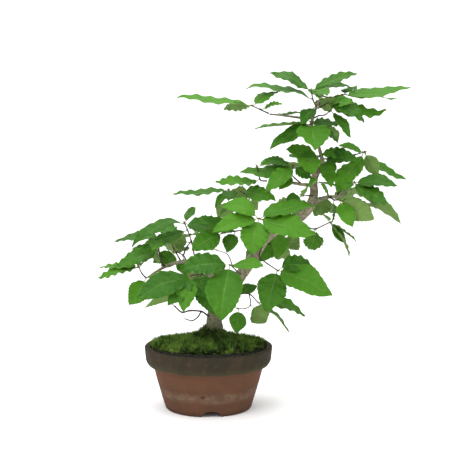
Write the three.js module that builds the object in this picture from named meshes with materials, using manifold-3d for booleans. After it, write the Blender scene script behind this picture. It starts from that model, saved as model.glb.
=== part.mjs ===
// A small broadleaf bonsai, slanting to the right in a round unglazed training pot.
// Millimetres, +Z up. The tree is laid out about the pot's own axis, standing on
// z = 0, and the last lines slide the finished object so that the middle of its
// footprint is the origin. The front of the tree looks along -Y.

import * as THREE from "three";
import { mergeVertices } from "three/addons/utils/BufferGeometryUtils.js";
import Module from "manifold-3d";

const wasm = await Module();
wasm.setup();
const { Manifold, Mesh } = wasm;

// Driving dimensions.
const gap = 0.3; // clearance between pieces that touch
const potSides = 40;
const fillSides = 32; // sides of the gravel, soil and moss
const fillGap = 0.8; // between the pot's wall and what fills it

const pot = {
  rimRadius: 91,
  height: 88,
  wall: 8,
  collarHeight: 24,
  collarFootRadius: 85.5,
  shoulderRadius: 79,
  waistRadius: 73,
  waistHeight: 40,
  footRadius: 60,
  footRingWidth: 8,
  footHeight: 6.5,
  floorThickness: 6.5,
  drainRadius: 12,
  cornerDrop: 3,
  notches: 3,
  notchWidth: 29,
  notchHeight: 7,
  notchTurn: 0.08, // radians from the front
};

const screen = { radius: 22, thickness: 1, holes: 3, holeSize: 6, holePitch: 9 };
const gravelTop = 26;
const soil = { edgeHeight: 84.5, crown: 92 };
const moss = {
  radius: 67,
  stretch: 1.15,
  setBack: 10,
  edgeHeight: 90,
  shoulderHeight: 96,
  crown: 98,
};

const leafThickness = 0.7;
const leafArch = 0.04; // rise of the midrib over the line from base to tip, per unit of length
const petiole = { length: 6, radius: 0.7 };
const twigRadius = 1.1;
const budRadius = 2.2;

// Which way a blade's upper face looks before it is squared to the midrib.
const facing = {
  up: [0, 0, 1],
  slight: [0, -1, 4],
  tipped: [0, -1, 2],
  half: [0, -1, 1],
  steep: [0, -2, 1],
  front: [0, -1, 0.2],
  away: [0, 1, 0.3],
  back: [0, 1, 2],
  right: [1, 0, 1],
};

// ---------------------------------------------------------------------------
// Solids

// A closed three.js shape as a solid that can be joined and cut.
function solid(geometry) {
  const bare = geometry.clone();
  bare.deleteAttribute("normal");
  bare.deleteAttribute("uv");
  const merged = mergeVertices(bare, 1e-4);
  const corners = [];
  for (let i = 0; i < merged.index.count; i += 3) {
    const [a, b, c] = merged.index.array.slice(i, i + 3);
    if (a !== b && b !== c && c !== a) corners.push(a, b, c);
  }
  return new Manifold(
    new Mesh({
      numProp: 3,
      vertProperties: new Float32Array(merged.attributes.position.array),
      triVerts: new Uint32Array(corners),
    }),
  );
}

// The solid's largest body, as a three.js geometry.
function geometryOf(shape) {
  const bodies = shape.decompose().sort((a, b) => b.volume() - a.volume());
  const mesh = bodies[0].getMesh();
  const geometry = new THREE.BufferGeometry();
  geometry.setAttribute("position", new THREE.BufferAttribute(mesh.vertProperties, 3));
  geometry.setIndex(new THREE.BufferAttribute(mesh.triVerts, 1));
  geometry.computeVertexNormals();
  return geometry;
}

// A profile of [radius, height] points turned about the pot's axis. It runs up the
// outside and down the inside.
function turned(profile, sides = fillSides) {
  const points = profile.map(([radius, height]) => new THREE.Vector2(radius, height));
  return new THREE.LatheGeometry(points, sides).rotateX(Math.PI / 2);
}

// The value at t along a list of evenly spaced values.
function along(values, t) {
  const place = t * (values.length - 1);
  const start = Math.min(Math.floor(place), values.length - 2);
  return THREE.MathUtils.lerp(values[start], values[start + 1], place - start);
}

// A round stem through route, with radii spread evenly along it.
function stem(route, radii, { sides = 5, steps = route.length - 1, grow = 0 } = {}) {
  const points = route.map((point) => new THREE.Vector3(...point));
  const path = new THREE.CatmullRomCurve3(points, false, "centripetal");
  const frames = path.computeFrenetFrames(steps, false);
  const shape = new THREE.CylinderGeometry(1, 1, 1, sides, steps);
  const place = shape.attributes.position;
  for (let i = 0; i < place.count; i++) {
    const t = place.getY(i) + 0.5;
    const frame = Math.round(t * steps);
    const radius = along(radii, t) + grow;
    const centre = path.getPoint(t);
    const end = t < 1e-6 ? -grow : t > 1 - 1e-6 ? grow : 0;
    centre.addScaledVector(frames.tangents[frame], end);
    centre.addScaledVector(frames.binormals[frame], radius * place.getX(i));
    centre.addScaledVector(frames.normals[frame], radius * place.getZ(i));
    place.setXYZ(i, centre.x, centre.y, centre.z);
  }
  return solid(shape);
}

// A leaf: a thin plate that is a narrow petiole first and then an arched ovate blade.
const leafSteps = [0, petiole.length, 0.3, 0.55, 0.8, 1]; // the first two are lengths in mm

function leaf(root, { tip, width, face = "up", arch = leafArch }, grow) {
  const start = new THREE.Vector3(...root);
  const run = new THREE.Vector3(...tip).sub(start);
  const length = run.length();
  const forward = run.clone().normalize();
  const normal = new THREE.Vector3(...facing[face]);
  normal.addScaledVector(forward, -normal.dot(forward)).normalize();
  const side = new THREE.Vector3().crossVectors(forward, normal);
  const plate = new THREE.BoxGeometry(1, 1, 1, 1, leafSteps.length - 1, 1);
  const place = plate.attributes.position;
  for (let i = 0; i < place.count; i++) {
    const step = Math.round((place.getY(i) + 0.5) * (leafSteps.length - 1));
    const t = step < 2 ? leafSteps[step] / length : leafSteps[step];
    const reach = Math.max((t * length - petiole.length) / (length - petiole.length), 0);
    const outline = Math.max(Math.sin(Math.PI * reach ** 0.8), 0) ** 0.75;
    const half = Math.max((outline * width) / 2, petiole.radius) + grow;
    const lift = arch * length * 4 * t * (1 - t) + place.getZ(i) * (leafThickness + 2 * grow);
    const point = start.clone().addScaledVector(forward, t * length + (t - 0.5) * 2 * grow);
    point.addScaledVector(side, place.getX(i) * 2 * half).addScaledVector(normal, lift);
    place.setXYZ(i, point.x, point.y, point.z);
  }
  return solid(plate);
}

// A shoot: thin twigs, each ending in a bud, and the leaves that grow there or at the
// route point that "from" counts to.
function shoot(twigs, grow = 0) {
  let shape = null;
  for (const { route, radius = twigRadius, leaves = [] } of twigs) {
    let piece = stem(route, [radius, radius * 0.75], { sides: 4, grow });
    for (const at of new Set(leaves.map(({ from }) => from ?? route.length - 1))) {
      const bud = new THREE.OctahedronGeometry(budRadius + grow);
      piece = piece.add(solid(bud.translate(...route[at])));
    }
    for (const one of leaves) {
      piece = piece.add(leaf(route[one.from ?? route.length - 1], one, grow));
    }
    shape = shape ? shape.add(piece) : piece;
  }
  return shape;
}

// ---------------------------------------------------------------------------
// The pot and what fills it

const innerRim = pot.rimRadius - pot.wall;
const floorTop = pot.footHeight + pot.floorThickness;
const shoulder = pot.height - pot.collarHeight;
const bodyWall = 5.5;

// The pot's inner wall between two heights, from top to bottom, drawn in by inset.
function innerWall(top, bottom, inset) {
  const wall = [
    [innerRim, pot.height],
    [innerRim - 2, shoulder + 4],
    [pot.shoulderRadius - bodyWall, shoulder - 6],
    [pot.waistRadius - bodyWall, pot.waistHeight],
    [pot.footRadius - 1, floorTop],
  ];
  const radiusAt = (height) => {
    const next = Math.max(wall.findIndex(([, z]) => z <= height), 1);
    const [r1, z1] = wall[next - 1];
    const [r2, z2] = wall[next];
    return r1 + ((r2 - r1) * (z1 - height)) / (z1 - z2) - inset;
  };
  const between = wall.filter(([, z]) => z < top && z > bottom);
  return [
    [radiusAt(top), top],
    ...between.map(([radius, z]) => [radius - inset, z]),
    [radiusAt(bottom), bottom],
  ];
}

function makePot() {
  const ringInner = pot.footRadius - pot.footRingWidth;
  const foot = [ringInner, 0];
  const profile = [
    foot,
    [pot.footRadius, 0],
    [pot.footRadius + 2, pot.cornerDrop],
    [pot.waistRadius, pot.waistHeight],
    [pot.shoulderRadius, shoulder - 2],
    [pot.collarFootRadius, shoulder - 1],
    [pot.rimRadius - 2, shoulder + 3],
    [pot.rimRadius, pot.height - 1],
    [pot.rimRadius - 1, pot.height],
    ...innerWall(pot.height, floorTop, 0),
    [pot.drainRadius, floorTop],
    [pot.drainRadius, pot.footHeight],
    [ringInner - 1, pot.footHeight],
    foot,
  ];
  const body = solid(turned(profile, potSides));
  const arch = new THREE.Shape();
  arch.moveTo(-pot.notchWidth / 2, -1);
  arch.lineTo(pot.notchWidth / 2, -1);
  arch.quadraticCurveTo(pot.notchWidth / 3, pot.notchHeight, 0, pot.notchHeight);
  arch.quadraticCurveTo(-pot.notchWidth / 3, pot.notchHeight, -pot.notchWidth / 2, -1);
  let notched = body;
  for (let i = 0; i < pot.notches; i++) {
    const cutter = new THREE.ExtrudeGeometry(arch, {
      depth: pot.footRingWidth + 12,
      bevelEnabled: false,
      curveSegments: 5,
    });
    cutter.rotateX(Math.PI / 2).translate(0, 6 - ringInner, 0);
    cutter.rotateZ(pot.notchTurn + (i * 2 * Math.PI) / pot.notches);
    notched = notched.subtract(solid(cutter));
  }
  return notched;
}

// A plastic mesh disc over the drain hole.
function makeScreen() {
  const middle = floorTop + gap + screen.thickness / 2;
  const disc = new THREE.CylinderGeometry(screen.radius, screen.radius, screen.thickness, 24);
  let plate = solid(disc.rotateX(Math.PI / 2).translate(0, 0, middle));
  for (let i = 0; i < screen.holes ** 2; i++) {
    const column = (i % screen.holes) - (screen.holes - 1) / 2;
    const row = Math.floor(i / screen.holes) - (screen.holes - 1) / 2;
    const hole = new THREE.BoxGeometry(screen.holeSize, screen.holeSize, screen.thickness * 2);
    hole.translate(column * screen.holePitch, row * screen.holePitch, middle);
    plate = plate.subtract(solid(hole));
  }
  return plate;
}

const screenTop = floorTop + gap + screen.thickness;

function makeGravel() {
  const bottom = floorTop + gap;
  const recess = screen.radius + 2 * gap;
  return solid(
    turned([
      [0, screenTop + gap],
      [recess, screenTop + gap],
      [recess, bottom],
      ...innerWall(gravelTop, bottom, fillGap).reverse(),
      [0, gravelTop],
    ]),
  );
}

// Soil and moss surfaces, as [radius, height] from the edge to the middle.
const soilEdge = innerWall(soil.edgeHeight, soil.edgeHeight - 1, fillGap)[0][0];
const soilSurface = [
  [soilEdge, soil.edgeHeight],
  [60, soil.edgeHeight + 3],
  [30, soil.crown - 2],
  [0, soil.crown],
];

function makeSoil() {
  const bottom = gravelTop + gap;
  return solid(
    turned([
      [0, bottom],
      ...innerWall(soil.edgeHeight, bottom, fillGap).reverse(),
      ...soilSurface.slice(1),
    ]),
  );
}

// The moss is a low cushion, set back from the pot's front, that rises round the trunk.
const mossClimb = { x: 6, y: -2, height: 18, spread: 22 };
const mossFall = 0.13; // how fast its surface drops behind the trunk

function makeMoss() {
  const cushion = turned([
    [0, soil.edgeHeight - 2],
    [moss.radius, soil.edgeHeight - 2],
    [moss.radius + 1, moss.edgeHeight],
    [moss.radius - 1, moss.edgeHeight + 3],
    [moss.radius - 12, moss.shoulderHeight],
    [45, moss.crown - 1],
    [32, moss.crown],
    [22, moss.crown],
    [13, moss.crown],
    [6, moss.crown],
    [0, moss.crown],
  ]);
  cushion.scale(moss.stretch, 1, 1).translate(0, moss.setBack, 0);
  const place = cushion.attributes.position;
  for (let i = 0; i < place.count; i++) {
    const [x, y, z] = [place.getX(i), place.getY(i), place.getZ(i)];
    if (z < moss.edgeHeight) continue;
    const inward = Math.min((moss.radius - Math.hypot(x, y)) / 20, 1);
    const rolling = 1.6 * Math.sin(x / 9 + 1) * Math.cos(y / 11) * Math.max(inward, 0);
    const away = Math.hypot(x - mossClimb.x, y - mossClimb.y) / mossClimb.spread;
    const climb = mossClimb.height * Math.exp(-away * away) - mossFall * Math.max(y - 5, 0);
    place.setZ(i, z + rolling + climb);
  }
  return solid(cushion).subtract(makeSoil().translate([0, 0, gap]));
}

// ---------------------------------------------------------------------------
// The woody parts

// [x, y, z, radius] from the root up to the tip of the leader.
const trunkLine = [
  [8, 0, 78, 15],
  [8, 0, 100, 14.5],
  [8.5, 0, 114, 12],
  [8.5, 0, 130, 10.5],
  [16, 2, 148, 9.5],
  [30, 3, 166, 9],
  [47, 2, 190, 8.5],
  [58, 0, 205, 8],
  [68, 0, 222, 7.4],
  [77, 2, 236, 7],
  [91, 3, 248, 6.8],
  [110, 3, 258, 6.5],
  [124, 2, 266, 6.3],
  [136, 2, 276, 6.5],
  [144, 2, 289, 6.8],
  [148, 2, 304, 6],
  [147, 0, 318, 5.8],
  [150, 0, 330, 5],
  [159, 0, 345, 3.4],
  [157, 0, 358, 2.7],
  [153, 0, 372, 2.4],
  [147, 0, 388, 2.3],
  [144, 0, 402, 2.2],
  [149, 0, 420, 1.9],
  [157, 0, 441, 1.3],
];

const roots = [
  { route: [[12, 0, 104], [26, -5, 97], [40, -9, 84]], radii: [8, 6, 4] },
  { route: [[5, -3, 102], [-6, -13, 95], [-16, -24, 83]], radii: [7, 5, 3.5] },
  { route: [[9, 4, 102], [14, 17, 95], [18, 32, 83]], radii: [7, 5, 3.5] },
];

const cutStub = { route: [[90, 2, 247], [91, -9, 248]], radii: [4.4, 3.8] };

function makeTrunk(grow = 0) {
  const route = trunkLine.map(([x, y, z]) => [x, y, z]);
  const radii = trunkLine.map(([, , , radius]) => radius);
  let trunk = stem(route, radii, { sides: 8, steps: 24, grow });
  for (const root of roots) {
    trunk = trunk.add(stem(root.route, root.radii, { sides: 6, steps: 2, grow }));
  }
  return trunk.add(stem(cutStub.route, cutStub.radii, { sides: 6, grow }));
}

const limbs = {
  limb_left: {
    route: [[18, 3, 156], [8, 6, 178], [-1, 1, 196], [-18, 5, 207], [-40, 8, 206], [-62, 0, 200],
      [-86, -4, 185]],
    radii: [5, 4.2, 3.6, 3.2, 2.8, 2.4, 1.8],
  },
  limb_middle: {
    route: [[70, 2, 230], [60, 8, 250], [51, 8, 270], [43, 2, 284], [37, -3, 292]],
    radii: [4, 3.2, 2.6, 2.2, 1.8],
  },
  limb_upper_left: {
    route: [[146, -1, 315], [128, -6, 317], [112, -10, 320], [95, -13, 321], [83, -15, 322]],
    radii: [3, 2.5, 2.2, 2, 1.6],
  },
  limb_right: {
    route: [[144, 0, 287], [157, -3, 296], [167, -6, 299], [180, -6, 300], [189, -8, 303],
      [195, -10, 311]],
    radii: [3.4, 3, 2.7, 2.3, 2, 1.6],
  },
  limb_top_left: {
    route: [[147, -1, 408], [128, -8, 409], [105, -14, 412], [84, -20, 414]],
    radii: [1.9, 1.8, 1.6, 1.4],
  },
};

// ---------------------------------------------------------------------------
// Shoots. Each twig is a route of [x, y, z] points with the leaves that grow at its
// end, or at the route point named by "from".

const shoots = {
  shoot_left_tip: [
    {
      route: [[-87, -5, 185], [-93, -5, 191], [-97, -6, 200]],
      leaves: [
        { tip: [-154, -12, 187], width: 28, face: "slight" },
        { tip: [-155, 20, 197], width: 28, face: "slight" },
        { tip: [-78, -28, 219], width: 18, face: "tipped" },
        { tip: [-112, 24, 211], width: 16, face: "back" },
        { from: 0, tip: [-110, -22, 150], width: 30, face: "front" },
      ],
    },
  ],
  shoot_left_outer: [
    {
      route: [[-62, -2, 202], [-66, -5, 208], [-69, -7, 225], [-68, -8, 243]],
      leaves: [
        { from: 2, tip: [-127, -26, 206], width: 28, face: "half" },
        { tip: [-76, -42, 229], width: 24, face: "half" },
        { from: 2, tip: [-110, 34, 222], width: 24, face: "half" },
        { tip: [-139, 40, 231], width: 30, face: "tipped" },
        { from: 1, tip: [-90, 38, 222], width: 22, face: "away" },
      ],
    },
  ],
  shoot_left_upper: [
    {
      route: [[-19, 4, 210], [-23, 6, 232], [-29, 0, 252], [-33, -5, 262]],
      leaves: [
        { tip: [-105, -32, 232], width: 25, face: "tipped", arch: 0.22 },
        { tip: [-19, 28, 283], width: 14, face: "tipped" },
        { tip: [13, -34, 252], width: 30, face: "half" },
        { from: 2, tip: [-92, -30, 229], width: 20, face: "half" },
      ],
    },
  ],
  shoot_left_inner: [
    {
      route: [[-32, 10, 209], [-36, 18, 214], [-47, 26, 219]],
      leaves: [
        { tip: [-66, 10, 198], width: 24, face: "front" },
        { from: 1, tip: [-33, 6, 188], width: 26, face: "front" },
        { tip: [-80, 24, 203], width: 18, face: "steep" },
      ],
    },
    {
      route: [[-36, 18, 214], [-31, 20, 226], [-26, 20, 232]],
      leaves: [
        { tip: [-62, 34, 236], width: 26, face: "away" },
        { from: 1, tip: [-44, 48, 214], width: 20, face: "back" },
      ],
    },
  ],
  shoot_left_front: [
    {
      route: [[-1, -4, 194], [-9, -30, 195], [-22, -55, 196]],
      leaves: [
        { tip: [-93, -86, 171], width: 42, face: "half" },
        { tip: [-86, -44, 150], width: 18, face: "away" },
        { tip: [-53, -84, 160], width: 27, face: "steep" },
        { tip: [-32, -88, 153], width: 28, face: "front" },
        { tip: [-4, -50, 166], width: 25, face: "front" },
        { from: 1, tip: [8, -56, 143], width: 38, face: "front" },
      ],
    },
  ],
  shoot_front_low: [
    {
      route: [[45, -8, 191], [40, -45, 200], [34, -80, 211], [30, -95, 216]],
      leaves: [
        { tip: [19, -122, 147], width: 50, face: "front" },
        { tip: [-35, -112, 212], width: 36, face: "half" },
        { tip: [73, -122, 218], width: 28, face: "tipped" },
      ],
    },
    {
      route: [[34, -80, 211], [27, -90, 229], [14, -94, 235]],
      radius: 0.8,
      leaves: [{ tip: [1, -96, 237], width: 6, face: "tipped" }],
    },
  ],
  shoot_front_middle: [
    {
      route: [[57, 0, 253], [38, -22, 253], [20, -40, 252]],
      leaves: [
        { tip: [-21, -66, 232], width: 32, face: "steep" },
        { from: 1, tip: [-14, -56, 273], width: 30, face: "half" },
        { from: 1, tip: [26, -42, 226], width: 22, face: "front" },
      ],
    },
  ],
  shoot_front_upper: [
    {
      route: [[97, -6, 251], [88, -35, 262], [78, -58, 270], [69, -70, 275]],
      leaves: [
        { tip: [59, -96, 230], width: 40, face: "front" },
        { tip: [143, -92, 257], width: 42, face: "half" },
        { tip: [145, -54, 291], width: 36, face: "tipped", arch: 0.08 },
        { tip: [19, -60, 290], width: 28, face: "half", arch: 0.22 },
        { tip: [7, -96, 260], width: 28, face: "half" },
      ],
    },
  ],
  shoot_right_front: [
    {
      route: [[75, -6, 230], [71, -16, 217], [81, -35, 210], [94, -60, 204]],
      leaves: [
        { tip: [79, -88, 152], width: 42, face: "front" },
        { tip: [166, -86, 174], width: 46, face: "half", arch: 0.1 },
        { tip: [144, -44, 206], width: 32, face: "half", arch: 0.22 },
      ],
    },
  ],
  shoot_right_low: [
    {
      route: [[27, -8, 158], [42, -14, 163], [57, -20, 165], [69, -25, 154]],
      leaves: [
        { tip: [138, 2, 130], width: 30, face: "tipped", arch: 0.1 },
        { tip: [116, -22, 109], width: 26, face: "right" },
        { from: 1, tip: [69, 6, 173], width: 20, face: "half" },
      ],
    },
    {
      route: [[57, -20, 165], [59, -24, 150], [50, -26, 145], [42, -27, 146]],
      radius: 0.9,
      leaves: [
        { tip: [39, -42, 114], width: 25, face: "front" },
        { from: 1, tip: [80, -34, 127], width: 34, face: "away" },
      ],
    },
  ],
  shoot_right_inner: [
    {
      route: [[112, 9, 257], [116, 22, 250], [111, 36, 244]],
      leaves: [
        { tip: [71, 42, 202], width: 28, face: "steep" },
        { tip: [96, 16, 210], width: 24, face: "front" },
        { tip: [130, 44, 219], width: 24, face: "away" },
      ],
    },
  ],
  shoot_right_lower: [
    {
      route: [[126, 5, 261], [138, 7, 257], [150, 8, 253], [171, 10, 262]],
      leaves: [
        { tip: [209, 6, 235], width: 26, face: "right" },
        { tip: [197, 28, 231], width: 16, face: "steep" },
        { tip: [202, 20, 213], width: 22, face: "right" },
        { tip: [160, -14, 276], width: 12, face: "tipped" },
        { from: 2, tip: [147, 30, 220], width: 30, face: "front" },
        { from: 2, tip: [161, 4, 229], width: 14, face: "right" },
      ],
    },
  ],
  shoot_left_high: [
    {
      route: [[37, -4, 294], [33, -8, 301], [29, -14, 309]],
      leaves: [
        { tip: [-49, -26, 305], width: 27, face: "slight", arch: 0.0 },
        { tip: [28, -50, 298], width: 22, face: "steep" },
        { tip: [10, -36, 287], width: 12, face: "steep" },
        { tip: [55, 26, 294], width: 26, face: "away" },
        { from: 0, tip: [16, 16, 272], width: 11, face: "half" },
      ],
    },
  ],
  shoot_middle_low: [
    {
      route: [[51, 5, 273], [57, -4, 292], [55, -12, 301], [46, -15, 307]],
      leaves: [
        { tip: [93, -32, 297], width: 30, face: "half", arch: 0.12 },
      ],
    },
  ],
  shoot_middle_high: [
    {
      route: [[81, -15, 322], [72, -24, 324], [69, -25, 336], [67, -25, 342]],
      leaves: [
        { from: 1, tip: [11, -52, 324], width: 28, face: "tipped", arch: -0.06 },
        { tip: [104, -8, 352], width: 18, face: "tipped" },
      ],
    },
  ],
  shoot_upper_inner: [
    {
      route: [[128, -9, 319], [120, -13, 326], [115, -17, 332], [117, -19, 343]],
      leaves: [
        { tip: [78, -52, 310], width: 26, face: "half", arch: 0.1 },
        { from: 2, tip: [97, -48, 313], width: 18, face: "half" },
        { tip: [44, -34, 335], width: 31, face: "tipped", arch: -0.05 },
        { tip: [79, -30, 352], width: 24, face: "tipped" },
        { tip: [141, -30, 327], width: 22, face: "half" },
      ],
    },
  ],
  shoot_upper_front: [
    {
      route: [[145, -6, 301], [138, -18, 302], [130, -26, 302]],
      leaves: [
        { tip: [107, -40, 293], width: 24, face: "steep" },
        { tip: [146, -62, 326], width: 34, face: "half" },
      ],
    },
  ],
  shoot_right_upper: [
    {
      route: [[197, -11, 314], [201, -16, 320]],
      leaves: [
        { tip: [186, -48, 312], width: 16, face: "half" },
        { tip: [259, -32, 317], width: 38, face: "tipped" },
        { tip: [241, -54, 293], width: 32, face: "tipped" },
        { tip: [271, 8, 261], width: 28, face: "back", arch: -0.02 },
      ],
    },
  ],
  shoot_right_middle: [
    {
      route: [[169, -9, 300], [174, -15, 296], [181, -20, 296]],
      leaves: [
        { tip: [227, -38, 271], width: 34, face: "away" },
        { tip: [235, -4, 283], width: 26, face: "up" },
        { tip: [197, -46, 262], width: 24, face: "steep" },
        { from: 0, tip: [150, 12, 272], width: 32, face: "away" },
        { from: 1, tip: [171, -24, 265], width: 18, face: "right" },
        { from: 0, tip: [155, -30, 319], width: 18, face: "half" },
      ],
    },
  ],
  shoot_right_high: [
    {
      route: [[160, 3, 352], [180, 10, 352], [205, 14, 357], [219, 15, 361]],
      leaves: [
        { tip: [237, 2, 329], width: 22, face: "away" },
        { tip: [283, 30, 323], width: 26, face: "tipped", arch: -0.12 },
        { from: 0, tip: [206, -22, 352], width: 30, face: "half" },
        { from: 1, tip: [160, 0, 328], width: 22, face: "steep" },
        { tip: [176, -40, 311], width: 30, face: "half", arch: -0.12 },
        { from: 2, tip: [157, -12, 358], width: 26, face: "half" },
        { tip: [181, -8, 371], width: 18, face: "half" },
        { from: 0, tip: [170, -20, 314], width: 22, face: "steep" },
      ],
    },
  ],
  shoot_left_crown_low: [
    {
      route: [[155, -3, 356], [146, -8, 352], [139, -10, 356]],
      leaves: [
        { from: 0, tip: [108, -18, 366], width: 32, face: "half", arch: -0.02 },
        { tip: [140, -52, 334], width: 34, face: "half" },
        { from: 0, tip: [125, -24, 350], width: 26, face: "half" },
      ],
    },
  ],
  shoot_crown_low: [
    {
      route: [[145, -3, 394], [142, -12, 400]],
      leaves: [
        { tip: [143, -72, 368], width: 48, face: "up" },
        { tip: [64, -26, 394], width: 30, face: "up", arch: 0.03 },
        { tip: [84, -42, 367], width: 24, face: "half" },
        { tip: [181, -6, 374], width: 28, face: "tipped", arch: 0.06 },
        { tip: [192, 18, 398], width: 32, face: "tipped", arch: 0.06 },
      ],
    },
  ],
  shoot_top_left: [
    {
      route: [[83, -20, 415], [72, -25, 420], [61, -28, 425]],
      leaves: [
        { tip: [-42, -36, 437], width: 34, face: "slight", arch: 0.0 },
        { tip: [22, -8, 420], width: 26, face: "back" },
        { tip: [101, -2, 447], width: 30, face: "slight" },
        { from: 1, tip: [101, -36, 428], width: 20, face: "tipped" },
      ],
    },
  ],
  shoot_crown_left: [
    {
      route: [[150, -2, 424], [145, -3, 434], [143, -4, 446]],
      leaves: [
        { from: 1, tip: [53, -16, 451], width: 40, face: "slight", arch: 0.06 },
        { tip: [86, 0, 472], width: 30, face: "tipped", arch: 0.06 },
        { tip: [205, -8, 470], width: 26, face: "tipped", arch: 0.05 },
        { tip: [160, -54, 440], width: 30, face: "tipped" },
        { from: 0, tip: [127, -30, 401], width: 20, face: "half" },
        { from: 0, tip: [98, 22, 417], width: 24, face: "up", arch: -0.1 },
        { tip: [202, 25, 452], width: 26, face: "tipped", arch: 0.08 },
      ],
    },
  ],
  shoot_crown_right: [
    {
      route: [[159, 1, 439], [170, 2, 437], [188, 3, 441]],
      leaves: [
        { tip: [207, 40, 453], width: 24, face: "up" },
        { tip: [279, -12, 451], width: 36, face: "tipped", arch: -0.06 },
        { tip: [268, 32, 438], width: 26, face: "slight", arch: 0.0 },
      ],
    },
  ],
  shoot_crown_front: [
    {
      route: [[152, -3, 422], [157, -8, 425], [164, -14, 429]],
      leaves: [
        { tip: [212, -34, 403], width: 30, face: "half", arch: 0.16 },
        { tip: [246, -6, 420], width: 36, face: "tipped", arch: -0.1 },
        { tip: [148, -56, 436], width: 28, face: "tipped" },
        { tip: [196, -34, 429], width: 26, face: "half" },
      ],
    },
  ],
  shoot_crown_drooping: [
    {
      route: [[148, -3, 409], [153, -8, 412], [161, -12, 413], [168, -17, 419]],
      leaves: [
        { tip: [195, -28, 382], width: 18, face: "tipped", arch: 0.08 },
        { tip: [176, -36, 430], width: 14, face: "tipped" },
      ],
    },
  ],
  shoot_rear_left: [
    {
      route: [[-40, 12, 208], [-50, 32, 222], [-56, 50, 230]],
      leaves: [
        { tip: [-98, 84, 214], width: 32, face: "back" },
        { tip: [-52, 108, 206], width: 34, face: "back" },
        { tip: [-14, 92, 236], width: 30, face: "back" },
        { tip: [-66, 92, 252], width: 28, face: "up" },
      ],
    },
  ],
  shoot_rear_low_left: [
    {
      route: [[7, 10, 178], [0, 28, 184], [-6, 46, 186]],
      leaves: [
        { tip: [-50, 84, 160], width: 32, face: "back" },
        { tip: [8, 98, 146], width: 36, face: "away" },
        { tip: [-34, 96, 192], width: 28, face: "back" },
        { tip: [46, 84, 172], width: 32, face: "back" },
      ],
    },
  ],
  shoot_rear_lower_right: [
    {
      route: [[79, 10, 235], [86, 28, 229], [90, 46, 226]],
      leaves: [
        { tip: [54, 84, 198], width: 32, face: "away" },
        { tip: [121, 98, 198], width: 34, face: "away" },
        { tip: [134, 76, 220], width: 28, face: "back" },
        { tip: [74, 102, 236], width: 28, face: "up" },
      ],
    },
  ],
  shoot_rear_middle: [
    {
      route: [[53, 12, 268], [48, 36, 280], [44, 54, 288]],
      leaves: [
        { tip: [14, 104, 260], width: 34, face: "back" },
        { tip: [72, 112, 272], width: 34, face: "back" },
        { tip: [92, 76, 302], width: 26, face: "up" },
      ],
    },
  ],
  shoot_rear_right: [
    {
      route: [[138, 10, 278], [142, 32, 283], [146, 50, 286]],
      leaves: [
        { tip: [192, 84, 268], width: 32, face: "back" },
        { tip: [128, 108, 254], width: 34, face: "away" },
        { tip: [100, 84, 284], width: 30, face: "back" },
      ],
    },
  ],
  shoot_rear_right_high: [
    {
      route: [[181, -2, 303], [187, 20, 306], [192, 36, 308]],
      leaves: [
        { tip: [240, 66, 292], width: 30, face: "back" },
        { tip: [206, 92, 280], width: 30, face: "away" },
        { tip: [160, 74, 314], width: 28, face: "back" },
      ],
    },
  ],
  shoot_rear_upper: [
    {
      route: [[149, 7, 333], [144, 26, 340], [138, 40, 344]],
      leaves: [
        { tip: [98, 74, 332], width: 30, face: "back" },
        { tip: [148, 92, 330], width: 32, face: "back" },
        { tip: [120, 86, 356], width: 26, face: "up" },
      ],
    },
  ],
  shoot_rear_crown: [
    {
      route: [[149, 4, 389], [153, 22, 394], [156, 34, 396]],
      leaves: [
        { tip: [188, 72, 376], width: 30, face: "back" },
        { tip: [122, 76, 384], width: 30, face: "back" },
        { tip: [162, 92, 404], width: 28, face: "up" },
      ],
    },
  ],
  shoot_rear_top: [
    {
      route: [[154, 3, 428], [156, 16, 433], [158, 26, 436]],
      leaves: [
        { tip: [200, 56, 428], width: 28, face: "back" },
        { tip: [176, 72, 418], width: 28, face: "back" },
        { tip: [156, 80, 448], width: 26, face: "up" },
      ],
    },
  ],
};

// Two leafless twigs low on the trunk's left.
const bareTwigs = [
  {
    route: [[0, -6, 131], [-10, -8, 138], [-27, -8, 139], [-37, -10, 137], [-47, -12, 146]],
    radius: 1.4,
  },
  { route: [[-10, -8, 138], [-15, -9, 130], [-23, -10, 125], [-30, -10, 127]], radius: 1.1 },
];

// ---------------------------------------------------------------------------
// The scene graph

const looks = {
  terracotta: { color: "#6a5040", roughness: 0.9, metalness: 0 },
  plastic: { color: "#1d2220", roughness: 0.6, metalness: 0 },
  gravel: { color: "#8a8378", roughness: 0.95, metalness: 0 },
  soil: { color: "#25231f", roughness: 1, metalness: 0 },
  moss: { color: "#3f5a1f", roughness: 1, metalness: 0 },
  bark: { color: "#75695c", roughness: 0.9, metalness: 0 },
  twig: { color: "#6b5244", roughness: 0.8, metalness: 0 },
  leaf: { color: "#4c8a2a", roughness: 0.5, metalness: 0 },
};

const root = new THREE.Group();
const taken = []; // grown copies of the pieces made so far, which later ones keep clear of

function add(name, shape, look) {
  const mesh = new THREE.Mesh(geometryOf(shape), new THREE.MeshStandardMaterial(looks[look]));
  mesh.name = name;
  root.add(mesh);
}

// The shape with every earlier piece that reaches it cut away.
function cleared(shape) {
  const box = shape.boundingBox();
  let clear = shape;
  for (const other of taken) {
    const { min, max } = other.boundingBox();
    const apart = [0, 1, 2].some((i) => min[i] > box.max[i] || max[i] < box.min[i]);
    if (!apart) clear = clear.subtract(other);
  }
  return clear;
}

const grownTrunk = makeTrunk(gap);
add("pot", makePot(), "terracotta");
add("drain_screen", makeScreen(), "plastic");
add("drainage_gravel", makeGravel(), "gravel");
add("soil", makeSoil().subtract(grownTrunk), "soil");
add("moss", makeMoss().subtract(grownTrunk), "moss");
add("trunk", makeTrunk(), "bark");
taken.push(grownTrunk);

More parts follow.
